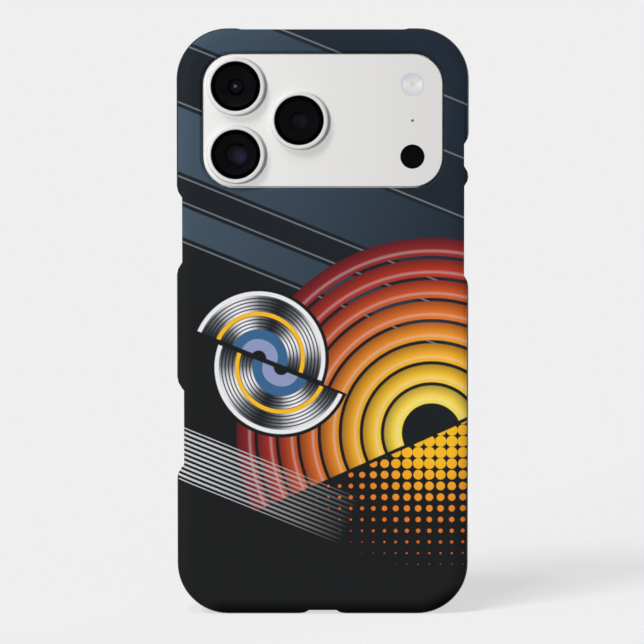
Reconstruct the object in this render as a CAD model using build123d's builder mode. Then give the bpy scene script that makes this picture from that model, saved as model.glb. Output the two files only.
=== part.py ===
from build123d import *
import os

# A large smartphone snapped into a hard moulded case, standing on its lower edge with the back towards -Y.
# Millimetres. X runs to the right as seen from the back, Z runs up, and the origin lies under the middle.

# Handset block
phone_width = 78.0
phone_height = 163.4
phone_depth = 8.75
phone_corner = 12.4
phone_back_bevel = 1.2

# Case shell, its walls measured outward from the handset
side_wall = 2.5
end_wall = 1.75
back_wall = 2.0
fit_gap = 0.15
lip_reach = 0.9
lip_thickness = 0.9
lip_gap = 0.1

# Slopes of the shell's soft back edge, the steepest first: reach across the back, reach down the face before
edge_slopes = [
    (0.85, 2.35),
    (1.6, 1.3),
    (1.95, 1.17),
]

# Camera plateau on the handset's back, and the opening that the case leaves round it
plateau_side_margin = 5.15
plateau_top_margin = 5.8
plateau_corner = 8.45
plateau_rise = 1.9
plateau_bevel = 0.12
plateau_shift = 0.06
opening_gap = 0.35
opening_bevel = 0.7

# Camera lenses, standing in a column of two with the third beside them
ring_radius = 8.25
ring_height = 1.9
ring_wall = 1.22
ring_bevel = 0.3
ring_space = 2.74
ring_margin = 0.78
ring_side_margin = 0.93
third_ring_space = 1.43
cover_thickness = 0.8
cover_recess = 0.08
cover_gap = 0.08
barrel_depth = 3.2
barrel_wall = 1.15
barrel_floor = 0.7
barrel_gap = 0.1
element_height = 0.8
tele_aperture = 2.4
main_aperture = 3.3
wide_aperture = 2.8

# Flash, depth sensor and microphone in a column at the plateau's other end
sensor_side_margin = 8.48
sensor_margin = 8.47
flash_radius = 3.35
flash_cover_thickness = 0.5
flash_gap = 0.05
bowl_height = 1.1
bowl_rim = 2.95
bowl_floor_radius = 1.3
bowl_floor = 0.3
led_side = 1.5
led_height = 0.35
window_radius = 3.4
window_thickness = 0.8
window_gap = 0.05
microphone_radius = 0.4
microphone_depth = 0.5
microphone_mesh_thickness = 0.2
microphone_gap = 0.02

# Buttons in the handset's sides
button_width = 3.0
button_seat = 1.2
button_standout = 0.4
button_gap = 0.1

# Cut-outs in the case's edge, open towards the screen and flaring outward
cutout_flare = 35.0
cutout_bevel = 2.4
cutout_past = 1.0

# Charging port, speakers beside it and the relief over the top edge
port_width = 9.0
port_thickness = 3.3
port_depth = 6.5
port_floor = 1.12
liner_wall = 0.25
plug_room = 1.4
tongue_width = 6.7
tongue_thickness = 0.7
tongue_length = 5.2
relief_length = 50.2
relief_floor = 2.28
speaker_place = 16.0
speaker_length = 11.9
speaker_width = 1.5
speaker_depth = 1.2
speaker_mesh_thickness = 0.4
speaker_gap = 0.05
speaker_room = 0.5

# Screen, under a cover glass let into the handset's front
frame_width = 1.3
glass_thickness = 0.8
glass_gap = 0.08
panel_thickness = 0.6
island_width = 20.6
island_height = 5.6
island_drop = 9.4
island_gap = 0.05
front_lens_radius = 1.6
front_lens_margin = 2.5
earpiece_width = 13.0
earpiece_height = 0.5
earpiece_gap = 0.05
earpiece_recess = 0.3

# Overall sizes of the shell and of the plateau
case_width = phone_width + 2 * side_wall
case_height = phone_height + 2 * end_wall
case_corner = phone_corner + (side_wall + end_wall) / 2
case_depth = back_wall + phone_depth + lip_gap + lip_thickness
plateau_width = phone_width - 2 * plateau_side_margin
plateau_length = 4 * ring_radius + ring_space + 2 * ring_margin
cover_radius = ring_radius - ring_wall - cover_gap

# Levels along Y, from the lens rings at the back to the case's lip at the front
y_ring = -(ring_height + plateau_rise + phone_depth + lip_gap + lip_thickness) / 2
y_plateau = y_ring + ring_height
y_phone_back = y_plateau + plateau_rise
y_phone_middle = y_phone_back + phone_depth / 2
y_phone_front = y_phone_back + phone_depth
y_panel = y_phone_front - glass_thickness
y_screen_floor = y_panel - panel_thickness
y_case_back = y_phone_back - back_wall

# Levels along Z
z_middle = case_height / 2
z_phone_top = end_wall + phone_height
z_plateau = z_phone_top - plateau_top_margin - plateau_length / 2
z_island = z_phone_top - island_drop

# Lenses: number, X, Z, aperture radius
x_column = plateau_shift - plateau_width / 2 + ring_side_margin + ring_radius
x_third = x_column + 2 * ring_radius + third_ring_space
lens_rise = ring_radius + ring_space / 2
lenses = [
    (1, x_column, z_plateau + lens_rise, tele_aperture),
    (2, x_column, z_plateau - lens_rise, main_aperture),
    (3, x_third, z_plateau, wide_aperture),
]

# Places of the flash, microphone and depth sensor
x_sensors = plateau_shift + plateau_width / 2 - sensor_side_margin
sensor_rise = plateau_length / 2 - sensor_margin
flash_place = (x_sensors, z_plateau + sensor_rise)
microphone_place = (x_sensors, z_plateau)
window_place = (x_sensors, z_plateau - sensor_rise)

# Buttons: name, side as seen from the back, distance below the handset's top, length
buttons = [
    ("action_button", 1, 34.2, 7.6),
    ("volume_up_button", 1, 48.8, 11.0),
    ("volume_down_button", 1, 62.6, 11.0),
    ("side_button", -1, 55.45, 18.6),
    ("camera_button", -1, 111.65, 18.6),
]

# Side cut-outs: first button, last button, finger room at each end, floor's depth below the case's back
side_cutouts = [
    ("action_button", "action_button", 1.4, 1.35),
    ("volume_up_button", "volume_down_button", 2.4, 1.43),
    ("side_button", "side_button", 2.05, 1.13),
    ("camera_button", "camera_button", 3.5, 0.74),
]


def from_back(y):
    # Plane at depth y, drawn on as seen from the back; positive amounts rise towards the back
    return Plane.XZ.offset(-y)


def on_side(side, z, inset=0.0):
    # Plane on a side of the handset, its x along Y and its normal outward
    x = side * (phone_width / 2 - inset)
    return Plane(origin=(x, 0, z), x_dir=(0, 1, 0), z_dir=(side, 0, 0))


def on_end(direction, inset=0.0):
    # Plane on the handset's top (1) or bottom (-1), its x along Y and its normal outward
    z = z_middle + direction * (phone_height / 2 - inset)
    return Plane(origin=(0, 0, z), x_dir=(0, 1, 0), z_dir=(0, 0, direction))


def around(x, z):
    # Plane through an axis along Y at x, z; its x is the radius and its y runs along Y
    return Plane(origin=(x, 0, z), x_dir=(1, 0, 0), z_dir=(0, 0, 1))


def axis_at(x, z):
    return Axis((x, 0, z), (0, 1, 0))


# Edge cut-outs: plane on the pocket's wall, length along that wall, floor's depth below the case's back
button_spans = {}
for name, side, drop, length in buttons:
    button_spans[name] = (side, drop - length / 2, drop + length / 2)
edge_cutouts = []
for first, last, finger_room, floor in side_cutouts:
    side, first_start, _ = button_spans[first]
    _, _, last_end = button_spans[last]
    middle = z_phone_top - (first_start + last_end) / 2
    length = last_end - first_start + 2 * finger_room
    edge_cutouts.append((on_side(side, middle, -fit_gap), length, floor))
port_cutout_length = port_width + 2 * liner_wall + 2 * plug_room
edge_cutouts.append((on_end(-1, -fit_gap), port_cutout_length, port_floor))
edge_cutouts.append((on_end(1, -fit_gap), relief_length, relief_floor))

pieces = {}

# Space for the handset inside the shell
with BuildPart() as handset_space:
    with BuildSketch(from_back(y_phone_back)):
        with Locations((0, z_middle)):
            RectangleRounded(
                phone_width + 2 * fit_gap, phone_height + 2 * fit_gap, phone_corner + fit_gap
            )
    extrude(amount=-(phone_depth + lip_gap))
    chamfer(edges().group_by(Axis.Y)[0], phone_back_bevel)

# Case shell: back panel with soft edges and the camera opening, walls, and the lip over the screen
with BuildPart() as case_shell:
    with BuildSketch(from_back(y_case_back)):
        with Locations((0, z_middle)):
            RectangleRounded(case_width, case_height, case_corner)
    extrude(amount=-case_depth)
    for across, down in edge_slopes:
        back = faces().sort_by(Axis.Y)[0]
        chamfer(back.edges(), across, down, reference=back)
    with BuildSketch(from_back(y_case_back)):
        with Locations((plateau_shift, z_plateau)):
            RectangleRounded(
                plateau_width + 2 * opening_gap,
                plateau_length + 2 * opening_gap,
                plateau_corner + opening_gap,
            )
    extrude(amount=-back_wall, mode=Mode.SUBTRACT)
    chamfer(faces().sort_by(Axis.Y)[0].inner_wires()[0].edges(), opening_bevel)
    add(handset_space.part, mode=Mode.SUBTRACT)
    with BuildSketch(from_back(y_phone_front)):
        with Locations((0, z_middle)):
            RectangleRounded(
                phone_width - 2 * lip_reach, phone_height - 2 * lip_reach, phone_corner - lip_reach
            )
    extrude(amount=-(lip_gap + lip_thickness), mode=Mode.SUBTRACT)
    for wall, length, floor in edge_cutouts:
        reach = case_depth + cutout_past - floor
        with BuildSketch(wall) as outline:
            with Locations((y_case_back + floor + reach / 2, 0)):
                Rectangle(reach, length)
            chamfer(outline.vertices().group_by(Axis.X)[0], cutout_bevel)
        extrude(amount=max(side_wall, end_wall) + cutout_past, taper=-cutout_flare, mode=Mode.SUBTRACT)
    with BuildSketch(on_end(-1)):
        with Locations((y_phone_middle, speaker_place), (y_phone_middle, -speaker_place)):
            SlotOverall(
                speaker_length + 2 * speaker_room, speaker_width + 2 * speaker_room, rotation=90
            )
    extrude(amount=end_wall + cutout_past, mode=Mode.SUBTRACT)
pieces["case_shell"] = case_shell.part

# Metal body of the handset with the plateau, wells, seats, port and speaker outlets
with BuildPart() as phone_body:
    with BuildSketch(from_back(y_phone_back)):
        with Locations((0, z_middle)):
            RectangleRounded(phone_width, phone_height, phone_corner)
    extrude(amount=-phone_depth)
    chamfer(edges().group_by(Axis.Y)[0], phone_back_bevel)
    with BuildSketch(from_back(y_phone_back)):
        with Locations((plateau_shift, z_plateau)):
            RectangleRounded(plateau_width, plateau_length, plateau_corner)
    extrude(amount=plateau_rise)
    chamfer(edges().group_by(Axis.Y)[0], plateau_bevel)
    with BuildSketch(from_back(y_phone_front)):
        with Locations((0, z_middle)):
            RectangleRounded(
                phone_width - 2 * frame_width,
                phone_height - 2 * frame_width,
                phone_corner - frame_width,
            )
    extrude(amount=glass_thickness + panel_thickness, mode=Mode.SUBTRACT)
    with BuildSketch(from_back(y_plateau)):
        for _, x, z, _ in lenses:
            with Locations((x, z)):
                Circle(cover_radius + barrel_gap)
    extrude(amount=-barrel_depth, mode=Mode.SUBTRACT)
    with BuildSketch(from_back(y_plateau)):
        with Locations(flash_place):
            Circle(flash_radius + flash_gap)
    extrude(amount=-(bowl_height + flash_cover_thickness), mode=Mode.SUBTRACT)
    with BuildSketch(from_back(y_plateau)):
        with Locations(window_place):
            Circle(window_radius + window_gap)
    extrude(amount=-window_thickness, mode=Mode.SUBTRACT)
    with BuildSketch(from_back(y_plateau)):
        with Locations(microphone_place):
            Circle(microphone_radius)
    extrude(amount=-microphone_depth, mode=Mode.SUBTRACT)
    for _, side, drop, length in buttons:
        with BuildSketch(on_side(side, z_phone_top - drop)):
            with Locations((y_phone_middle, 0)):
                SlotOverall(length + 2 * button_gap, button_width + 2 * button_gap, rotation=90)
        extrude(amount=-button_seat, mode=Mode.SUBTRACT)
    with BuildSketch(on_end(-1)):
        with Locations((y_phone_middle, 0)):
            SlotOverall(port_width + 2 * liner_wall, port_thickness + 2 * liner_wall, rotation=90)
    extrude(amount=-port_depth, mode=Mode.SUBTRACT)
    with BuildSketch(on_end(-1)):
        with Locations((y_phone_middle, speaker_place), (y_phone_middle, -speaker_place)):
            SlotOverall(speaker_length, speaker_width, rotation=90)
    extrude(amount=-speaker_depth, mode=Mode.SUBTRACT)
pieces["phone_body"] = phone_body.part

# Lens assemblies: a black barrel in its well, standing up through a metal ring on the plateau; a cover
# glass on the barrel's rim and the front lens element on its floor
y_seat = y_ring + cover_recess + cover_thickness
y_barrel = y_plateau + barrel_depth
y_element = y_barrel - barrel_floor
for number, x, z, aperture in lenses:
    with BuildPart() as lens_ring:
        with BuildSketch(from_back(y_plateau)):
            with Locations((x, z)):
                Circle(ring_radius)
                Circle(ring_radius - ring_wall, mode=Mode.SUBTRACT)
        extrude(amount=ring_height)
        chamfer(edges().group_by(Axis.Y)[0].sort_by(SortBy.LENGTH)[-1], ring_bevel)
    pieces[f"lens_ring_{number}"] = lens_ring.part

    with BuildPart() as lens_cover:
        with BuildSketch(from_back(y_seat)):
            with Locations((x, z)):
                Circle(cover_radius)
        extrude(amount=cover_thickness)
    pieces[f"lens_cover_{number}"] = lens_cover.part

    with BuildPart() as lens_barrel:
        with BuildSketch(from_back(y_barrel)):
            with Locations((x, z)):
                Circle(cover_radius)
        extrude(amount=y_barrel - y_seat)
        with BuildSketch(from_back(y_element)):
            with Locations((x, z)):
                Circle(cover_radius - barrel_wall)
        extrude(amount=y_element - y_seat, mode=Mode.SUBTRACT)
    pieces[f"lens_barrel_{number}"] = lens_barrel.part

    with BuildPart() as lens_element:
        with BuildSketch(from_back(y_element)):
            with Locations((x, z)):
                Circle(aperture)
        extrude(amount=element_height)
    pieces[f"lens_element_{number}"] = lens_element.part

# Flash: a reflector bowl in its well, a light-emitting chip on its floor and a clear cover over both
y_bowl = y_plateau + flash_cover_thickness
y_bowl_floor = y_bowl + bowl_height - bowl_floor
with BuildPart() as flash_reflector:
    with BuildSketch(around(*flash_place)):
        with BuildLine():
            Polyline(
                (bowl_rim, y_bowl),
                (flash_radius, y_bowl),
                (flash_radius, y_bowl + bowl_height),
                (0, y_bowl + bowl_height),
                (0, y_bowl_floor),
                (bowl_floor_radius, y_bowl_floor),
                close=True,
            )
        make_face()
    revolve(axis=axis_at(*flash_place))
pieces["flash_reflector"] = flash_reflector.part

with BuildPart() as flash_led:
    with BuildSketch(from_back(y_bowl_floor)):
        with Locations(flash_place):
            Rectangle(led_side, led_side)
    extrude(amount=led_height)
pieces["flash_led"] = flash_led.part

with BuildPart() as flash_cover:
    with BuildSketch(from_back(y_bowl)):
        with Locations(flash_place):
            Circle(flash_radius)
    extrude(amount=flash_cover_thickness)
pieces["flash_cover"] = flash_cover.part

# Dark window of the depth sensor, flush with the plateau
with BuildPart() as depth_sensor_window:
    with BuildSketch(from_back(y_plateau + window_thickness)):
        with Locations(window_place):
            Circle(window_radius)
    extrude(amount=window_thickness)
pieces["depth_sensor_window"] = depth_sensor_window.part

# Acoustic mesh on the floor of the microphone's hole
with BuildPart() as rear_microphone_mesh:
    with BuildSketch(from_back(y_plateau + microphone_depth)):
        with Locations(microphone_place):
            Circle(microphone_radius - microphone_gap)
    extrude(amount=microphone_mesh_thickness)
pieces["rear_microphone_mesh"] = rear_microphone_mesh.part

# Side buttons, each seated on the floor of its slot and standing a little proud of the side
for name, side, drop, length in buttons:
    with BuildPart() as button:
        with BuildSketch(on_side(side, z_phone_top - drop, button_seat)):
            with Locations((y_phone_middle, 0)):
                SlotOverall(length, button_width, rotation=90)
        extrude(amount=button_seat + button_standout)
    pieces[name] = button.part

# Charging port: a thin metal liner and the contact tongue on the port's floor
with BuildPart() as port_liner:
    with BuildSketch(on_end(-1)):
        with Locations((y_phone_middle, 0)):
            SlotOverall(port_width + 2 * liner_wall, port_thickness + 2 * liner_wall, rotation=90)
            SlotOverall(port_width, port_thickness, rotation=90, mode=Mode.SUBTRACT)
    extrude(amount=-port_depth)
pieces["port_liner"] = port_liner.part

with BuildPart() as port_tongue:
    with BuildSketch(on_end(-1, port_depth)):
        with Locations((y_phone_middle, 0)):
            Rectangle(tongue_thickness, tongue_width)
    extrude(amount=tongue_length)
pieces["port_tongue"] = port_tongue.part

# Speaker meshes on the floors of the two outlets beside the port
for name, direction in (("speaker_mesh_left", -1), ("speaker_mesh_right", 1)):
    with BuildPart() as speaker_mesh:
        with BuildSketch(on_end(-1, speaker_depth)):
            with Locations((y_phone_middle, direction * speaker_place)):
                SlotOverall(
                    speaker_length - 2 * speaker_gap, speaker_width - 2 * speaker_gap, rotation=90
                )
        extrude(amount=speaker_mesh_thickness)
    pieces[name] = speaker_mesh.part

# Screen panel with a hole for the sensor island, on the floor of the front recess
screen_width = phone_width - 2 * (frame_width + glass_gap)
screen_height = phone_height - 2 * (frame_width + glass_gap)
screen_corner = phone_corner - frame_width - glass_gap
with BuildPart() as display_panel:
    with BuildSketch(from_back(y_screen_floor)):
        with Locations((0, z_middle)):
            RectangleRounded(screen_width, screen_height, screen_corner)
        with Locations((0, z_island)):
            SlotOverall(
                island_width + 2 * island_gap, island_height + 2 * island_gap, mode=Mode.SUBTRACT
            )
    extrude(amount=-panel_thickness)
pieces["display_panel"] = display_panel.part

# Sensor island in that hole, with the front camera's lens near its end
x_front_lens = island_width / 2 - front_lens_margin - front_lens_radius
with BuildPart() as front_sensor_module:
    with BuildSketch(from_back(y_screen_floor)):
        with Locations((0, z_island)):
            SlotOverall(island_width, island_height)
        with Locations((x_front_lens, z_island)):
            Circle(front_lens_radius + island_gap, mode=Mode.SUBTRACT)
    extrude(amount=-panel_thickness)
pieces["front_sensor_module"] = front_sensor_module.part

with BuildPart() as front_camera_lens:
    with BuildSketch(from_back(y_screen_floor)):
        with Locations((x_front_lens, z_island)):
            Circle(front_lens_radius)
    extrude(amount=-panel_thickness)
pieces["front_camera_lens"] = front_camera_lens.part

# Cover glass over the screen, notched at its top edge for the earpiece
z_glass_top = z_middle + screen_height / 2
with BuildPart() as display_glass:
    with BuildSketch(from_back(y_panel)):
        with Locations((0, z_middle)):
            RectangleRounded(screen_width, screen_height, screen_corner)
    extrude(amount=-glass_thickness)
    with BuildSketch(from_back(y_panel)):
        with Locations((0, z_glass_top)):
            Rectangle(earpiece_width + 2 * earpiece_gap, 2 * (earpiece_height + earpiece_gap))
    extrude(amount=-glass_thickness, mode=Mode.SUBTRACT)
pieces["display_glass"] = display_glass.part

with BuildPart() as earpiece_mesh:
    with BuildSketch(from_back(y_panel)):
        with Locations((0, z_glass_top - earpiece_height / 2)):
            Rectangle(earpiece_width, earpiece_height)
    extrude(amount=-(glass_thickness - earpiece_recess))
pieces["earpiece_mesh"] = earpiece_mesh.part

os.makedirs("parts", exist_ok=True)
for name, piece in pieces.items():
    piece.label = name
    export_step(piece, f"parts/{name}.step")
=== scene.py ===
import math

import bpy
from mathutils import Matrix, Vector


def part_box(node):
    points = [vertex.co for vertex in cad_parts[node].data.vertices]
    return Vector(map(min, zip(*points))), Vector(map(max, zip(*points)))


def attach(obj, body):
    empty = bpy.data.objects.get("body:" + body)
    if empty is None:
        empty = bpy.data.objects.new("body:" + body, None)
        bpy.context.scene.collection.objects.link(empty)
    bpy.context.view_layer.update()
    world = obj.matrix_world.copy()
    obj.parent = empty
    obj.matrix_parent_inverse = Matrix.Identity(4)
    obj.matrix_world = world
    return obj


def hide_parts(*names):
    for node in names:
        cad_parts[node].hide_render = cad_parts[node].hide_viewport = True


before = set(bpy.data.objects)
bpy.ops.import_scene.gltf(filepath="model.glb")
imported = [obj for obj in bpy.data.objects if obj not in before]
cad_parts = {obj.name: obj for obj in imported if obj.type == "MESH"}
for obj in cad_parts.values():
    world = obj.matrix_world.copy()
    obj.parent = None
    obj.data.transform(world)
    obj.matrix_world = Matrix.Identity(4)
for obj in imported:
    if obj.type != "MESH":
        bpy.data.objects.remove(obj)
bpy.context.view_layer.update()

# Helpers for materials
# The grain group's noise mostly lies between these two values
noise_low, noise_high = 0.3, 0.7


def new_material(name):
    material = bpy.data.materials.new(name)
    material.use_nodes = True
    return material, material.node_tree, material.node_tree.nodes["Principled BSDF"]


def ink(red, green, blue):
    # Linear colour from the three levels, 0 to 255, of a colour on a screen
    levels = []
    for level in (red, green, blue):
        share = level / 255
        levels.append(share / 12.92 if share <= 0.04045 else ((share + 0.055) / 1.055) ** 2.4)
    return (*levels, 1.0)


def feed(tree, socket, term):
    if isinstance(term, bpy.types.NodeSocket):
        tree.links.new(term, socket)
    else:
        socket.default_value = term


def math_node(tree, operation, *terms):
    node = tree.nodes.new("ShaderNodeMath")
    node.operation = operation
    for socket, term in zip(node.inputs, terms):
        feed(tree, socket, term)
    return node.outputs["Value"]


def vector_node(tree, operation, *terms, output="Vector"):
    node = tree.nodes.new("ShaderNodeVectorMath")
    node.operation = operation
    for socket, term in zip(node.inputs, terms):
        feed(tree, socket, term)
    return node.outputs[output]


def surface_place(tree):
    # Coordinates of the surface, by name
    return tree.nodes.new("ShaderNodeTexCoord").outputs


def split(tree, vector):
    # The parts X, Y and Z of a vector, by name
    node = tree.nodes.new("ShaderNodeSeparateXYZ")
    tree.links.new(vector, node.inputs["Vector"])
    return node.outputs


def fade(tree, value, start, end, low=0.0, high=1.0):
    # Runs from low at start to high at end, and stays level outside
    node = tree.nodes.new("ShaderNodeMapRange")
    feed(tree, node.inputs["Value"], value)
    feed(tree, node.inputs["From Min"], start)
    feed(tree, node.inputs["From Max"], end)
    node.inputs["To Min"].default_value = low
    node.inputs["To Max"].default_value = high
    return node.outputs["Result"]


def paint(tree, under, over, mask):
    node = tree.nodes.new("ShaderNodeMix")
    node.data_type = "RGBA"
    feed(tree, node.inputs[0], mask)
    feed(tree, node.inputs[6], under)
    feed(tree, node.inputs[7], over)
    return node.outputs[2]


def colour_run(tree, value, stops):
    node = tree.nodes.new("ShaderNodeValToRGB")
    ramp = node.color_ramp
    while len(ramp.elements) < len(stops):
        ramp.elements.new(1.0)
    for element, (place, colour) in zip(ramp.elements, stops):
        element.position = place
        element.color = colour
    feed(tree, node.inputs["Fac"], value)
    return node.outputs["Color"]


def make_grain_group():
    group = bpy.data.node_groups.new("surface_grain", "ShaderNodeTree")
    group.interface.new_socket("Grains per metre", in_out="INPUT", socket_type="NodeSocketFloat")
    group.interface.new_socket("Patches per metre", in_out="INPUT", socket_type="NodeSocketFloat")
    group.interface.new_socket("Grain", in_out="OUTPUT", socket_type="NodeSocketFloat")
    group.interface.new_socket("Patches", in_out="OUTPUT", socket_type="NodeSocketFloat")
    entry = group.nodes.new("NodeGroupInput")
    exit_node = group.nodes.new("NodeGroupOutput")
    place = group.nodes.new("ShaderNodeTexCoord")
    for size, output, detail in (("Grains per metre", "Grain", 2.0), ("Patches per metre", "Patches", 4.0)):
        noise = group.nodes.new("ShaderNodeTexNoise")
        noise.inputs["Detail"].default_value = detail
        group.links.new(place.outputs["Object"], noise.inputs["Vector"])
        group.links.new(entry.outputs[size], noise.inputs["Scale"])
        group.links.new(noise.outputs["Fac"], exit_node.inputs[output])
    return group


grain_group = make_grain_group()


def add_grain(tree, grain_size, patch_size):
    node = tree.nodes.new("ShaderNodeGroup")
    node.node_tree = grain_group
    node.inputs["Grains per metre"].default_value = 1 / grain_size
    node.inputs["Patches per metre"].default_value = 1 / patch_size
    return node.outputs["Grain"], node.outputs["Patches"]


def add_bump(tree, shader, height, strength, distance):
    bump = tree.nodes.new("ShaderNodeBump")
    bump.inputs["Strength"].default_value = strength
    bump.inputs["Distance"].default_value = distance
    tree.links.new(height, bump.inputs["Height"])
    tree.links.new(bump.outputs["Normal"], shader.inputs["Normal"])


def set_roughness(tree, shader, noise, low, high):
    # Roughness that runs from low to high with the noise
    tree.links.new(fade(tree, noise, noise_low, noise_high, low, high), shader.inputs["Roughness"])


def patchy_material(name, grain_size, patch_size, tones, roughness, metallic=0.0):
    # Opaque surface whose tone varies in patches and whose roughness varies with the grain
    material, tree, shader = new_material(name)
    grain, patches = add_grain(tree, grain_size, patch_size)
    tree.links.new(paint(tree, *tones, patches), shader.inputs["Base Color"])
    set_roughness(tree, shader, grain, *roughness)
    shader.inputs["Metallic"].default_value = metallic
    return material, shader


def clear_glass(name, grain_size, patch_size, colour, bending, roughness):
    # Glass with faint smears; bending is its index of refraction
    material, tree, shader = new_material(name)
    _, patches = add_grain(tree, grain_size, patch_size)
    shader.inputs["Base Color"].default_value = colour
    shader.inputs["Transmission Weight"].default_value = 1.0
    shader.inputs["IOR"].default_value = bending
    set_roughness(tree, shader, patches, *roughness)
    return material


# Helpers for pieces
weld_distance = 1e-6
flat_angle = math.radians(0.5)
bevel_angle = math.radians(30.0)
smooth_angle = math.radians(35.0)
turned_steps = 96


def dress(node, material):
    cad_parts[node].data.materials.clear()
    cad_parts[node].data.materials.append(material)


def add_piece(piece, material, slot, *nodes):
    piece.data.materials.append(material)
    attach(piece, "root")
    if nodes:
        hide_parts(*nodes)


def middle_of(node):
    # X and Z of a node's middle, and its radius
    low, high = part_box(node)
    return (low.x + high.x) / 2, (low.z + high.z) / 2, (high.z - low.z) / 2


def softened_copy(node, name, width):
    # Copy of a node's solid with its triangles joined and its sharp edges rounded
    piece = bpy.data.objects.new(name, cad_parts[node].data.copy())
    bpy.context.collection.objects.link(piece)
    piece.data.materials.clear()
    bpy.ops.object.select_all(action="DESELECT")
    piece.select_set(True)
    bpy.context.view_layer.objects.active = piece
    bpy.ops.object.mode_set(mode="EDIT")
    bpy.ops.mesh.select_all(action="SELECT")
    bpy.ops.mesh.customdata_custom_splitnormals_clear()
    bpy.ops.mesh.remove_doubles(threshold=weld_distance)
    bpy.ops.mesh.dissolve_limited(angle_limit=flat_angle)
    bpy.ops.object.mode_set(mode="OBJECT")
    bevel = piece.modifiers.new("edge", "BEVEL")
    bevel.width = width
    bevel.segments = 3
    bevel.limit_method = "ANGLE"
    bevel.angle_limit = bevel_angle
    bpy.ops.object.modifier_apply(modifier="edge")
    bpy.ops.object.shade_smooth_by_angle(angle=smooth_angle)
    piece.modifiers.new("shade", "WEIGHTED_NORMAL").keep_sharp = True
    bpy.ops.object.modifier_apply(modifier="shade")
    return piece


def turn_piece(name, x, z, profile):
    # Solid of revolution about an axis along Y; the profile holds radius and depth
    bpy.ops.object.select_all(action="DESELECT")
    radius, depth = profile[0]
    bpy.ops.mesh.primitive_plane_add(size=0.001, location=(x + radius, depth, z))
    piece = bpy.context.active_object
    piece.name = piece.data.name = name
    bpy.ops.object.transform_apply(location=True)
    bpy.ops.object.mode_set(mode="EDIT")
    bpy.ops.mesh.merge(type="CENTER")
    for (radius, depth), (next_radius, next_depth) in zip(profile, profile[1:]):
        step = (next_radius - radius, next_depth - depth, 0.0)
        bpy.ops.mesh.extrude_region_move(TRANSFORM_OT_translate={"value": step})
    bpy.ops.mesh.select_all(action="SELECT")
    bpy.ops.mesh.spin(steps=turned_steps, angle=2 * math.pi, center=(x, 0.0, z), axis=(0.0, 1.0, 0.0))
    bpy.ops.mesh.select_all(action="SELECT")
    bpy.ops.mesh.remove_doubles(threshold=weld_distance)
    bpy.ops.mesh.normals_make_consistent(inside=False)
    bpy.ops.object.mode_set(mode="OBJECT")
    bpy.ops.object.shade_smooth_by_angle(angle=smooth_angle)
    return piece


def arc_points(radius, depth, size, start, end, count):
    # Points of an arc in a profile about radius, depth; angle 0 points outward and 90 to the back
    points = []
    for index in range(count + 1):
        angle = math.radians(start + (end - start) * index / count)
        points.append((radius + size * math.cos(angle), depth - size * math.sin(angle)))
    return points


# Case shell
# One moulded shell of hard plastic, snapped round the handset. The back and the bevel round the cameras are
# printed with arcs, bars, rings and dots on black; inner walls and cut edges stay plain satin black.
case_edge = 0.0003
case_material, case_tree, case_shader = new_material("printed_case_plastic")
case_place = surface_place(case_tree)
# Flat place on the print in millimetres
flat = vector_node(case_tree, "MULTIPLY", case_place["Object"], (1000.0, 0.0, 1000.0))


def distance_to(x, z, place=flat):
    return vector_node(case_tree, "DISTANCE", place, (x, 0.0, z), output="Value")


def along(angle, x=0.0, z=0.0):
    # Distance from the point x, z along a direction in the print, the angle counted up from +X
    direction = (math.cos(math.radians(angle)), 0.0, math.sin(math.radians(angle)))
    start = vector_node(case_tree, "SUBTRACT", flat, (x, 0.0, z))
    return vector_node(case_tree, "DOT_PRODUCT", start, direction, output="Value")


def inside(distance, edge, soft=0.12):
    # One where the distance is below the edge, with a soft border
    return fade(case_tree, distance, edge + soft, edge - soft)


def outside(distance, edge, soft=0.12):
    return fade(case_tree, distance, edge - soft, edge + soft)


def both(first, second):
    return math_node(case_tree, "MULTIPLY", first, second)


def size_of(value):
    return math_node(case_tree, "ABSOLUTE", value)


def minus(first, second):
    return math_node(case_tree, "SUBTRACT", first, second)


def step_in(value, pitch):
    # Runs from zero to one over each pitch
    return math_node(case_tree, "FRACT", math_node(case_tree, "DIVIDE", value, pitch))


def stripes(value, pitch, share, soft=0.06, depth=1.0):
    # Reaches depth on the stripes, which take a share of each pitch
    off_middle = size_of(minus(step_in(value, pitch), 0.5))
    return fade(case_tree, off_middle, share / 2 + soft, share / 2 - soft, 0.0, depth)


def layer(under, over, mask):
    return paint(case_tree, under, over, mask)


black = ink(32, 33, 34)
slate = ink(70, 86, 102)
deep_slate = ink(38, 47, 58)
lavender = ink(146, 156, 196)
blue = ink(62, 104, 146)
silver = ink(206, 208, 212)
bright = ink(240, 240, 243)
steel = ink(120, 124, 130)
dark_steel = ink(44, 47, 54)
yellow = ink(250, 226, 92)
amber = ink(250, 190, 44)
orange = ink(232, 126, 46)
red = ink(190, 62, 40)
crimson = ink(122, 34, 44)
# Painted shade for the lower edge of the case
edge_shade_black = ink(2, 2, 3)
plain_plastic = ink(20, 21, 23)

# Black ground with a slate glow towards the upper right
picture = layer(black, deep_slate, fade(case_tree, along(50, -20, 60), 10.0, 110.0))

# Slate bars that cross the back at a slant, each between two steel pinstripes
slant = 68.0
pin_gap, pin_half_width = 1.2, 0.2
for bar_middle, bar_width in ((119.0, 17.0), (96.0, 8.0), (154.0, 12.0)):
    off_bar = size_of(along(slant, 0.0, bar_middle))
    sheen = fade(case_tree, along(slant - 90, 0.0, bar_middle), -42.0, 40.0)
    picture = layer(picture, layer(slate, deep_slate, sheen), inside(off_bar, bar_width / 2))
    off_pin = size_of(minus(off_bar, bar_width / 2 + pin_gap))
    picture = layer(picture, steel, inside(off_pin, pin_half_width))

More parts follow.
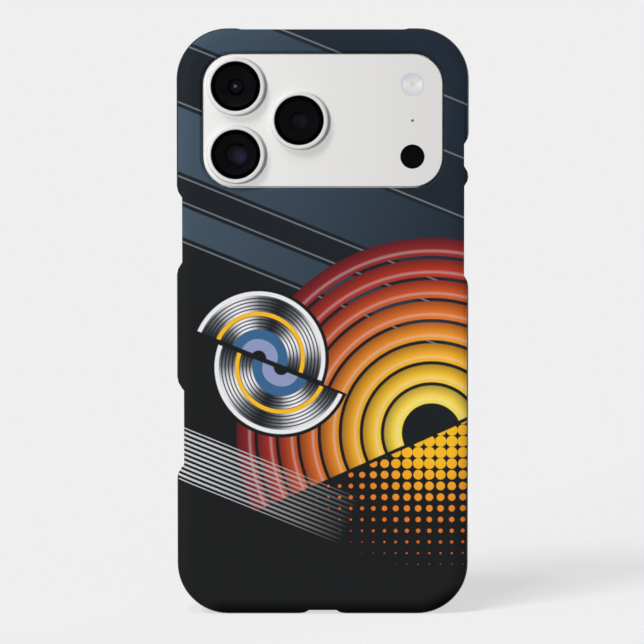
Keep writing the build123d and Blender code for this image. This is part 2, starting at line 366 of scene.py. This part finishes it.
# Fan of warm ribs that rises from the right edge, each rib shaded as if it were round
fan_x, fan_z, fan_inner, fan_outer, fan_tilt = 31.0, 52.0, 8.0, 56.0, 114.0
rib_pitch, rib_share = 6.0, 0.84
fan_reach = distance_to(fan_x, fan_z)
fan_side = along(fan_tilt, fan_x, fan_z)
rib_reach = minus(fan_reach, fan_inner)
fan_stops = [(0.0, yellow), (0.25, amber), (0.5, orange), (0.75, red), (1.0, crimson)]
fan_colour = colour_run(case_tree, fade(case_tree, fan_reach, fan_inner, fan_outer), fan_stops)
fan_dusk = fade(case_tree, along(165, fan_x, fan_z), 8.0, 62.0, 0.0, 0.6)
fan_colour = layer(fan_colour, crimson, fan_dusk)
rib_step = step_in(rib_reach, rib_pitch)
rib_colour = layer(fan_colour, black, fade(case_tree, rib_step, 0.45, 0.95, 0.0, 0.55))
rib_light = stripes(math_node(case_tree, "ADD", rib_step, 0.2), 1.0, 0.06, 0.08, 0.35)
rib_colour = layer(rib_colour, bright, rib_light)
fan_mask = both(stripes(rib_reach, rib_pitch, rib_share, 0.02), inside(fan_reach, fan_outer))
fan_mask = both(fan_mask, outside(fan_reach, fan_inner))
fan_mask = both(fan_mask, outside(fan_side, 0.0))
picture = layer(picture, rib_colour, fan_mask)

# Dots below the fan that shrink away from it
dot_pitch, dot_soft, dot_gap = 3.2, 0.03, 1.0
cell = vector_node(case_tree, "DIVIDE", flat, (dot_pitch, 1.0, dot_pitch))
cell = vector_node(case_tree, "FRACTION", cell)
dot_size = fade(case_tree, fan_reach, fan_inner, 44.0, 0.5, -0.05)
dot_mask = fade(case_tree, minus(distance_to(0.5, 0.5, cell), dot_size), dot_soft, -dot_soft)
dot_mask = both(dot_mask, inside(fan_side, -dot_gap))
dot_stops = [(0.0, amber), (0.5, orange), (1.0, red)]
dot_colour = colour_run(case_tree, fade(case_tree, fan_reach, fan_inner, 42.0), dot_stops)
picture = layer(picture, dot_colour, dot_mask)

# Disc of fine silver rings, sliced along the slant with its halves slid apart
disc_x, disc_z, disc_radius, disc_rim, disc_border = -15.0, 72.0, 19.0, 1.2, 1.0
slide, slice_gap, sheen_count = 3.5, 0.7, 4.0
disc_side = along(slant, disc_x, disc_z)
slice_turn = math.radians(slant - 90)
slide_way = (math.cos(slice_turn), 0.0, math.sin(slice_turn))
slid = fade(case_tree, disc_side, -0.01, 0.01, -slide, slide)
disc_place = vector_node(case_tree, "MULTIPLY_ADD", slide_way, slid, flat)
disc_reach = distance_to(disc_x, disc_z, disc_place)
off_disc = split(case_tree, vector_node(case_tree, "SUBTRACT", disc_place, (disc_x, 0.0, disc_z)))
disc_turn = math_node(case_tree, "ARCTAN2", off_disc["Z"], off_disc["X"])
sheen_wave = math_node(case_tree, "SINE", math_node(case_tree, "MULTIPLY", disc_turn, sheen_count))
disc_stops = [(0.0, dark_steel), (0.45, steel), (0.8, silver), (1.0, bright)]
disc_colour = colour_run(case_tree, fade(case_tree, sheen_wave, -1.0, 1.0), disc_stops)
disc_colour = layer(black, disc_colour, stripes(disc_reach, 1.0, 0.66, 0.1))
picture = layer(picture, black, inside(disc_reach, disc_radius + disc_border))
picture = layer(picture, disc_colour, inside(disc_reach, disc_radius))
for ring_outer, ring_inner, ring_colour in (
    (disc_radius, disc_radius - disc_rim, bright),
    (13.2, 12.0, amber),
    (8.2, 5.4, blue),
    (5.4, 0.0, lavender),
    (2.2, 0.0, black),
):
    ring_mask = both(inside(disc_reach, ring_outer), outside(disc_reach, ring_inner))
    picture = layer(picture, ring_colour, ring_mask)
slice_mask = inside(size_of(disc_side), slice_gap)
slice_mask = both(slice_mask, inside(disc_reach, disc_radius + disc_border))
picture = layer(picture, black, slice_mask)

# Sheaf of fine silver lines under the disc, thinning out to the right
sheaf_x, sheaf_z, sheaf_half_width, sheaf_pitch = -20.0, 38.0, 7.15, 1.3
sheaf_across = along(slant, sheaf_x, sheaf_z)
sheaf_mask = inside(size_of(sheaf_across), sheaf_half_width, 0.05)
sheaf_mask = both(stripes(sheaf_across, sheaf_pitch, 0.45), sheaf_mask)
sheaf_mask = both(sheaf_mask, fade(case_tree, along(slant - 90, sheaf_x, sheaf_z), 30.0, -16.0))
picture = layer(picture, silver, sheaf_mask)

# Painted shade: the picture is darkened towards the lower edge, most of all to the right, as the rounded
# edge there would be in shade
middle_height, core_side, core_height = 83.45, 29.5, 71.45
edge_shade_way, edge_shade_start, edge_shade_end, edge_shade_depth = (0.45, 0.0, -0.89), 6.6, 10.2, 0.92
from_middle = vector_node(case_tree, "SUBTRACT", flat, (0.0, 0.0, middle_height))
nearest = vector_node(case_tree, "MINIMUM", from_middle, (core_side, 0.0, core_height))
nearest = vector_node(case_tree, "MAXIMUM", nearest, (-core_side, 0.0, -core_height))
off_core = vector_node(case_tree, "SUBTRACT", from_middle, nearest)
toward_shaded_edge = vector_node(case_tree, "DOT_PRODUCT", off_core, edge_shade_way, output="Value")
picture = layer(picture, edge_shade_black, fade(case_tree, toward_shaded_edge, edge_shade_start, edge_shade_end, 0.0, edge_shade_depth))

# Print on what faces the back, down to the bevel of the camera opening; the rest is plain black plastic
print_mask = fade(case_tree, split(case_tree, case_place["Normal"])["Y"], -0.3, -0.6)
case_tree.links.new(layer(plain_plastic, picture, print_mask), case_shader.inputs["Base Color"])
grain, patches = add_grain(case_tree, 0.00035, 0.02)
set_roughness(case_tree, case_shader, patches, 0.40, 0.50)
case_shader.inputs["IOR"].default_value = 1.08
add_bump(case_tree, case_shader, grain, 0.06, 0.00004)
case = softened_copy("case_shell", "case_shell_softened", case_edge)
add_piece(case, case_material, "case_plastic", "case_shell")

# Handset body
# A block of aluminium, bead blasted and anodised silver, with the camera plateau machined from the
# same block. Painted shade darkens its tone a little to the right, as a lamp from the left would. It is held
# by the case's lip.
plateau_half_width = 0.033
painted_lit_tone, painted_shade_tone = (0.800, 0.792, 0.777, 1.0), (0.680, 0.672, 0.659, 1.0)
grain_tone = (0.785, 0.777, 0.763, 1.0)
body_material, tree, shader = new_material("blasted_aluminium")
grain, patches = add_grain(tree, 0.0003, 0.03)
across = split(tree, surface_place(tree)["Object"])["X"]
# Painted shade: the tone falls from the left of the plateau to its right
body_tone = paint(tree, painted_lit_tone, painted_shade_tone, fade(tree, across, -plateau_half_width, plateau_half_width))
body_tone = paint(tree, body_tone, grain_tone, fade(tree, grain, noise_low, noise_high, 0.0, 0.2))
tree.links.new(body_tone, shader.inputs["Base Color"])
set_roughness(tree, shader, patches, 0.5, 0.6)
shader.inputs["Metallic"].default_value = 0.2
add_bump(tree, shader, grain, 0.12, 0.00004)
dress("phone_body", body_material)

# Lens rings
# Turned aluminium rings pressed on the plateau, with a soft round shoulder, a fine inner bevel beside
# the glass and a white satin anodised finish; the upright flank carries painted shade that makes it greyer.
ring_shoulder = 0.00045
ring_inner_bevel = 0.00015
ring_glass_gap = 0.00006
flank_painted_shade = (0.56, 0.56, 0.57, 1.0)
ring_material, tree, shader = new_material("turned_ring")
grain, patches = add_grain(tree, 0.0003, 0.006)
ring_tone = paint(tree, (0.68, 0.68, 0.67, 1.0), (0.74, 0.74, 0.73, 1.0), patches)
facing = split(tree, surface_place(tree)["Normal"])["Y"]
# Painted shade: faces that turn away from the back are painted greyer, so the flank reads as shaded
ring_tone = paint(tree, flank_painted_shade, ring_tone, fade(tree, facing, -0.2, -0.6))
tree.links.new(ring_tone, shader.inputs["Base Color"])
set_roughness(tree, shader, grain, 0.42, 0.48)
shader.inputs["Metallic"].default_value = 0.2
add_bump(tree, shader, grain, 0.02, 0.00002)
lens_places = {}
cover_radii = {}
for number in (1, 2, 3):
    low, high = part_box(f"lens_ring_{number}")
    lens_x, lens_z, outer = middle_of(f"lens_ring_{number}")
    lens_places[number] = (lens_x, lens_z)
    _, _, cover_radii[number] = middle_of(f"lens_cover_{number}")
    inner = cover_radii[number] + ring_glass_gap
    profile = [(inner, high.y), (inner, low.y + ring_inner_bevel), (inner + ring_inner_bevel, low.y)]
    profile += arc_points(outer - ring_shoulder, low.y + ring_shoulder, ring_shoulder, 90.0, 0.0, 8)
    profile += [(outer, high.y), (inner, high.y)]
    ring = turn_piece(f"lens_ring_{number}_turned", *lens_places[number], profile)
    add_piece(ring, ring_material, "ring_metal", f"lens_ring_{number}")

# Lens cover glasses
# Flat discs of hard clear glass with a coating that keeps reflections low, set in the rings.
cover_colour = (0.36, 0.37, 0.42, 1.0)
cover_material = clear_glass("coated_cover_glass", 0.0004, 0.02, cover_colour, 1.13, (0.01, 0.03))
for number in (1, 2, 3):
    dress(f"lens_cover_{number}", cover_material)

# Lens barrels and baffles
# Cups of matt black plastic in the plateau's wells, each with a stepped baffle pressed in that leads
# down to the front lens.
baffle_wall = 0.0002
baffle_steps = 4
baffle_inset = 0.0006
baffle_throat_gap = 0.0003
baffle_top_gap = 0.0003
baffle_bottom_gap = 0.0001
barrel_material, tree, shader = new_material("matt_barrel")
grain, patches = add_grain(tree, 0.0002, 0.01)
tree.links.new(paint(tree, ink(8, 8, 9), ink(14, 14, 16), grain), shader.inputs["Base Color"])
set_roughness(tree, shader, patches, 0.4, 0.55)
shader.inputs["IOR"].default_value = 1.3
for number in (1, 2, 3):
    dress(f"lens_barrel_{number}", barrel_material)
    _, cover_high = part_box(f"lens_cover_{number}")
    element_low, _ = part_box(f"lens_element_{number}")
    _, _, aperture = middle_of(f"lens_element_{number}")
    mouth = cover_radii[number] - baffle_inset
    throat = aperture + baffle_throat_gap
    top = cover_high.y + baffle_top_gap
    bottom = element_low.y - baffle_bottom_gap
    profile = [(mouth, bottom), (mouth, top)]
    for step in range(baffle_steps):
        radius = mouth - (mouth - throat) * (step + 1) / baffle_steps
        profile.append((radius, top + (bottom - top) * step / baffle_steps))
        profile.append((radius, top + (bottom - top) * (step + 1) / baffle_steps - baffle_wall))
    profile += [(throat, bottom), (mouth, bottom)]
    baffle = turn_piece(f"lens_baffle_{number}", *lens_places[number], profile)
    add_piece(baffle, barrel_material, "barrel_black")

# Front lens elements
# Domes of polished glass over a dark stack, one in each barrel. Each has a painted glint, a spot beside the
# middle that stands in for a lamp's reflection: a small white one, a violet one and a teal one.
# Their colour also turns violet towards the dome's edge, a painted coating reflection.


def glinted_element(name, x, z, reach, glint_colour):
    material, tree, shader = new_material(name)
    off_spot = vector_node(tree, "MULTIPLY", surface_place(tree)["Object"], (1.0, 0.0, 1.0))
    off_spot = vector_node(tree, "DISTANCE", off_spot, (x, 0.0, z), output="Value")
    rim = tree.nodes.new("ShaderNodeLayerWeight")
    rim.inputs["Blend"].default_value = 0.35
    # Painted reflection: violet towards grazing angles; painted glint: a spot of the glint colour round x, z
    tone = paint(tree, ink(6, 6, 10), ink(52, 48, 110), rim.outputs["Facing"])
    tone = paint(tree, tone, glint_colour, fade(tree, off_spot, reach, 0.0))
    tree.links.new(tone, shader.inputs["Base Color"])
    _, patches = add_grain(tree, 0.0004, 0.004)
    set_roughness(tree, shader, patches, 0.03, 0.08)
    return material


# Painted glints by lens: the spot's X and Z from the lens's middle, its reach, its colour
lens_glints = {
    1: (-0.0002, 0.0002, 0.0006, ink(255, 255, 255)),
    2: (0.0018, -0.0006, 0.0030, ink(118, 90, 138)),
    3: (0.0026, -0.0008, 0.0034, ink(56, 84, 96)),
}
for number, (spot_x, spot_z, reach, glint_colour) in lens_glints.items():
    lens_x, lens_z = lens_places[number]
    element_low, element_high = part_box(f"lens_element_{number}")
    _, _, aperture = middle_of(f"lens_element_{number}")
    rise = element_high.y - element_low.y
    dome_radius = (aperture**2 + rise**2) / (2 * rise)
    half_angle = math.degrees(math.asin(aperture / dome_radius))
    profile = [(0.0, element_high.y)]
    profile += arc_points(0.0, element_low.y + dome_radius, dome_radius, 90.0 - half_angle, 90.0, 10)
    dome = turn_piece(f"lens_dome_{number}", lens_x, lens_z, profile)
    element_material = glinted_element(
        f"lens_painted_glint_{number}", lens_x + spot_x, lens_z + spot_z, reach, glint_colour
    )
    add_piece(dome, element_material, "lens_element_glass", f"lens_element_{number}")

# Flash
# A milky cover moulded with fine rings, over a silvered bowl with a square yellow light chip.
flash_rings = 4
flash_groove = 0.00004
flash_border = 0.0006
flash_side_gap = 0.00004
flash_under_gap = 0.00002
flash_low, flash_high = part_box("flash_cover")
flash_x, flash_z, flash_radius = middle_of("flash_cover")
flash_radius += flash_side_gap
flash_material, tree, shader = new_material("ringed_flash_cover")
_, patches = add_grain(tree, 0.0003, 0.003)
flash_flat = vector_node(tree, "MULTIPLY", surface_place(tree)["Object"], (1.0, 0.0, 1.0))
flash_reach = vector_node(tree, "DISTANCE", flash_flat, (flash_x, 0.0, flash_z), output="Value")
flash_stops = [
    (0.0, ink(238, 230, 222)),
    (0.2, ink(240, 234, 228)),
    (0.36, ink(250, 249, 248)),
    (0.56, ink(236, 237, 239)),
    (0.76, ink(234, 237, 241)),
    (0.9, ink(218, 224, 231)),
    (1.0, ink(238, 239, 240)),
]
flash_colour = colour_run(tree, fade(tree, flash_reach, 0.0, flash_radius), flash_stops)
# Painted highlights: white glints painted to the left and right of the middle
off_flash = vector_node(tree, "SUBTRACT", flash_flat, (flash_x, 0.0, flash_z))
off_flash = split(tree, vector_node(tree, "ABSOLUTE", off_flash))
glint = fade(tree, math_node(tree, "SUBTRACT", off_flash["X"], off_flash["Z"]), 0.0004, 0.0016)
glint = math_node(tree, "MULTIPLY", glint, fade(tree, flash_reach, 0.0030, 0.0024))
flash_colour = paint(tree, flash_colour, ink(255, 255, 255), glint)
tree.links.new(flash_colour, shader.inputs["Base Color"])
shader.inputs["Transmission Weight"].default_value = 0.2
shader.inputs["IOR"].default_value = 1.2
set_roughness(tree, shader, patches, 0.35, 0.45)
ring_pitch = (flash_radius - flash_border) / flash_rings
flash_under = flash_high.y - flash_under_gap
profile = [(0.0, flash_under), (flash_radius, flash_under), (flash_radius, flash_low.y)]
for step in range(flash_rings):
    radius = flash_radius - flash_border - ring_pitch * step
    profile += [(radius, flash_low.y), (radius - ring_pitch / 4, flash_low.y + flash_groove)]
profile.append((0.0, flash_low.y))
flash_lens = turn_piece("flash_ringed_cover", flash_x, flash_z, profile)
add_piece(flash_lens, flash_material, "flash_clear", "flash_cover")

bowl_tones = (0.84, 0.86, 0.89, 1.0), (0.92, 0.93, 0.94, 1.0)
bowl_material, _ = patchy_material("silvered_bowl", 0.0003, 0.002, bowl_tones, (0.25, 0.4))
dress("flash_reflector", bowl_material)

chip_material, tree, shader = new_material("light_chip")
grain, _ = add_grain(tree, 0.0002, 0.001)
chip_tone = paint(tree, (0.93, 0.85, 0.58, 1.0), (0.96, 0.91, 0.72, 1.0), grain)
tree.links.new(chip_tone, shader.inputs["Base Color"])
shader.inputs["Roughness"].default_value = 0.7
dress("flash_led", chip_material)

# Depth sensor window and microphone
# A disc of dark polished plastic set flush in the plateau, and fine black mesh in the pinhole above it.
window_tones = ink(3, 3, 4), ink(7, 7, 8)
window_material, shader = patchy_material("dark_window", 0.0005, 0.004, window_tones, (0.10, 0.16))
shader.inputs["IOR"].default_value = 1.18
dress("depth_sensor_window", window_material)

mesh_cell = 0.00025
mesh_material, tree, shader = new_material("dark_mesh")
weave = tree.nodes.new("ShaderNodeTexVoronoi")
weave.inputs["Scale"].default_value = 1 / mesh_cell
tree.links.new(surface_place(tree)["Object"], weave.inputs["Vector"])
wire_mask = fade(tree, weave.outputs["Distance"], 0.25, 0.55)
mesh_tone = paint(tree, ink(40, 40, 41), ink(130, 130, 132), wire_mask)
tree.links.new(mesh_tone, shader.inputs["Base Color"])
shader.inputs["Metallic"].default_value = 0.7
shader.inputs["Roughness"].default_value = 0.5
add_bump(tree, shader, weave.outputs["Distance"], 0.5, 0.0001)
for node in ("rear_microphone_mesh", "earpiece_mesh", "speaker_mesh_left", "speaker_mesh_right"):
    dress(node, mesh_material)

# Side buttons
# Pill-shaped aluminium keys in the handset's sides with softened edges, and one polished control strip.
button_edge = 0.0003
strip_tones = (0.62, 0.62, 0.61, 1.0), (0.70, 0.70, 0.69, 1.0)
strip_material, _ = patchy_material("polished_strip", 0.0005, 0.006, strip_tones, (0.12, 0.18))
for node in ("action_button", "volume_up_button", "volume_down_button", "side_button", "camera_button"):
    cap = softened_copy(node, f"{node}_cap", button_edge)
    if node == "camera_button":
        add_piece(cap, strip_material, "button_glass", node)
    else:
        add_piece(cap, body_material, "button_metal", node)

# Charging port
# A drawn steel liner round a moulded black tongue with rows of gilt contacts on both faces.
liner_tones = (0.45, 0.45, 0.46, 1.0), (0.60, 0.60, 0.61, 1.0)
liner_material, _ = patchy_material("drawn_steel", 0.0002, 0.002, liner_tones, (0.25, 0.4), metallic=1.0)
dress("port_liner", liner_material)
dress("port_tongue", barrel_material)

contact_count = 12
contact_pitch = 0.0005
contact_width = 0.00028
contact_length = 0.0036
contact_stand = 0.00006
contact_tip_gap = 0.0004
contact_edge = 0.00003
gilt_tones = (0.80, 0.58, 0.24, 1.0), (0.90, 0.70, 0.34, 1.0)
contact_material, _ = patchy_material("gilt_contact", 0.0002, 0.002, gilt_tones, (0.2, 0.35), metallic=1.0)
tongue_low, tongue_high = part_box("port_tongue")
bpy.ops.object.select_all(action="DESELECT")
bpy.ops.mesh.primitive_cube_add(size=1.0)
contacts = bpy.context.active_object
contacts.name = contacts.data.name = "port_contacts"
thickness = tongue_high.y - tongue_low.y + 2 * contact_stand
bpy.ops.transform.resize(value=(contact_width, thickness, contact_length))
first_contact = -contact_pitch * (contact_count - 1) / 2
middle_y = (tongue_low.y + tongue_high.y) / 2
middle_z = tongue_low.z + contact_tip_gap + contact_length / 2
bpy.ops.transform.translate(value=(first_contact, middle_y, middle_z))
bpy.ops.object.transform_apply(location=True, rotation=True, scale=True)
row = contacts.modifiers.new("row", "ARRAY")
row.count = contact_count
row.use_relative_offset = False
row.use_constant_offset = True
row.constant_offset_displace = (contact_pitch, 0.0, 0.0)
edge = contacts.modifiers.new("edge", "BEVEL")
edge.width = contact_edge
edge.segments = 1
for modifier in ("row", "edge"):
    bpy.ops.object.modifier_apply(modifier=modifier)
add_piece(contacts, contact_material, "port_steel")

# Screen
# Clear cover glass over a panel that is switched off, with a black pill-shaped sensor island and its lens.
front_glint_reach = 0.0012
screen_colour = (0.86, 0.87, 0.88, 1.0)
glass_material = clear_glass("screen_cover_glass", 0.0006, 0.03, screen_colour, 1.45, (0.01, 0.05))
dress("display_glass", glass_material)

panel_tones = ink(12, 13, 16), ink(18, 19, 23)
panel_material, _ = patchy_material("dark_panel", 0.0004, 0.02, panel_tones, (0.3, 0.4))
dress("display_panel", panel_material)
dress("front_sensor_module", window_material)
lens_x, lens_z, _ = middle_of("front_camera_lens")
# Painted glint: a blue spot painted in the middle of the front camera's lens, with a painted violet
# reflection towards grazing angles
front_lens_material = glinted_element("front_lens_painted_glint", lens_x, lens_z, front_glint_reach, ink(60, 70, 120))
dress("front_camera_lens", front_lens_material)

# Floor, light and camera
# A pale floor without an edge, under a soft lamp from the upper left, a weak one from above, a low fill
# from the front left and a low lamp behind for the screen and the right side. Most of the floor's tone is
# its own glow, so that the shadow on it stays light and little light bounces up from it.
backdrop_tone = 0.863
floor_albedo = 0.40
floor_size = 60.0
ambient_level = 0.08

# Lamps: name, level, heading, elevation, spread
lamps = [
    ("key_light", 0.46, 46.0, 44.0, 17.5),
    ("top_light", 0.16, 63.0, 66.0, 7.0),
    ("fill_light", 0.52, 64.0, 4.0, 7.0),
    ("back_light", 0.30, 225.0, 4.0, 7.0),
]


def grey(tone):
    return (tone, tone, tone, 1.0)


def add_sun(name, level, heading, elevation, spread):
    # Wide distant lamp whose rays run towards the heading; level is the light on a surface that faces it
    turn, rise = math.radians(heading), math.radians(elevation)
    way = Vector((math.cos(rise) * math.cos(turn), math.cos(rise) * math.sin(turn), -math.sin(rise)))
    bpy.ops.object.light_add(type="SUN", location=-way)
    sun = bpy.context.active_object
    sun.name = name
    sun.rotation_euler = way.to_track_quat("-Z", "Y").to_euler()
    sun.data.energy = math.pi * level
    sun.data.angle = math.radians(spread)
    return level * math.sin(rise)


floor_light = ambient_level
for lamp in lamps:
    floor_light += add_sun(*lamp)

bpy.ops.object.select_all(action="DESELECT")
bpy.ops.mesh.primitive_plane_add(size=floor_size, location=(0.0, 0.0, 0.0))
floor = bpy.context.active_object
floor.name = "floor"
floor_material, tree, shader = new_material("pale_floor")
shader.inputs["Base Color"].default_value = grey(floor_albedo)
shader.inputs["Roughness"].default_value = 1.0
shader.inputs["Specular IOR Level"].default_value = 0.0
glow = tree.nodes.new("ShaderNodeEmission")
glow.inputs["Color"].default_value = grey(backdrop_tone - floor_albedo * floor_light)
rays = tree.nodes.new("ShaderNodeLightPath").outputs
seen = math_node(tree, "MAXIMUM", rays["Is Camera Ray"], rays["Is Glossy Ray"])
seen = math_node(tree, "MAXIMUM", seen, rays["Is Transmission Ray"])
tree.links.new(seen, glow.inputs["Strength"])
total = tree.nodes.new("ShaderNodeAddShader")
tree.links.new(shader.outputs["BSDF"], total.inputs[0])
tree.links.new(glow.outputs["Emission"], total.inputs[1])
tree.links.new(total.outputs["Shader"], tree.nodes["Material Output"].inputs["Surface"])
floor.data.materials.append(floor_material)

# The world shows the backdrop, gives mirrors a darker tone towards the front, and lights the rest weakly
mirror_front_tone = 0.2
world = bpy.data.worlds.new("studio")
bpy.context.scene.world = world
world.use_nodes = True
tree = world.node_tree
rays = tree.nodes.new("ShaderNodeLightPath").outputs
depth = split(tree, surface_place(tree)["Generated"])["Y"]
mirror_tone = fade(tree, depth, -1.0, 0.6, mirror_front_tone, backdrop_tone)
tone = paint(tree, grey(ambient_level), mirror_tone, rays["Is Glossy Ray"])
seen = math_node(tree, "MAXIMUM", rays["Is Camera Ray"], rays["Is Transmission Ray"])
tone = paint(tree, tone, grey(backdrop_tone), seen)
tree.links.new(tone, tree.nodes["Background"].inputs["Color"])

image_size = 644
focal_pixels = 2458.0
camera_distance = 0.7028
camera_pitch = 2.4
aim_height = 0.0834
camera_side = -0.0002
camera_height = aim_height + camera_distance * math.tan(math.radians(camera_pitch))
bpy.ops.object.camera_add(location=(camera_side, -camera_distance, camera_height))
camera = bpy.context.active_object
camera.rotation_euler = (math.radians(90.0 - camera_pitch), 0.0, 0.0)
camera.data.sensor_width = 36.0
camera.data.lens = camera.data.sensor_width * focal_pixels / image_size
bpy.context.scene.camera = camera
bpy.context.scene.view_settings.view_transform = "Standard"
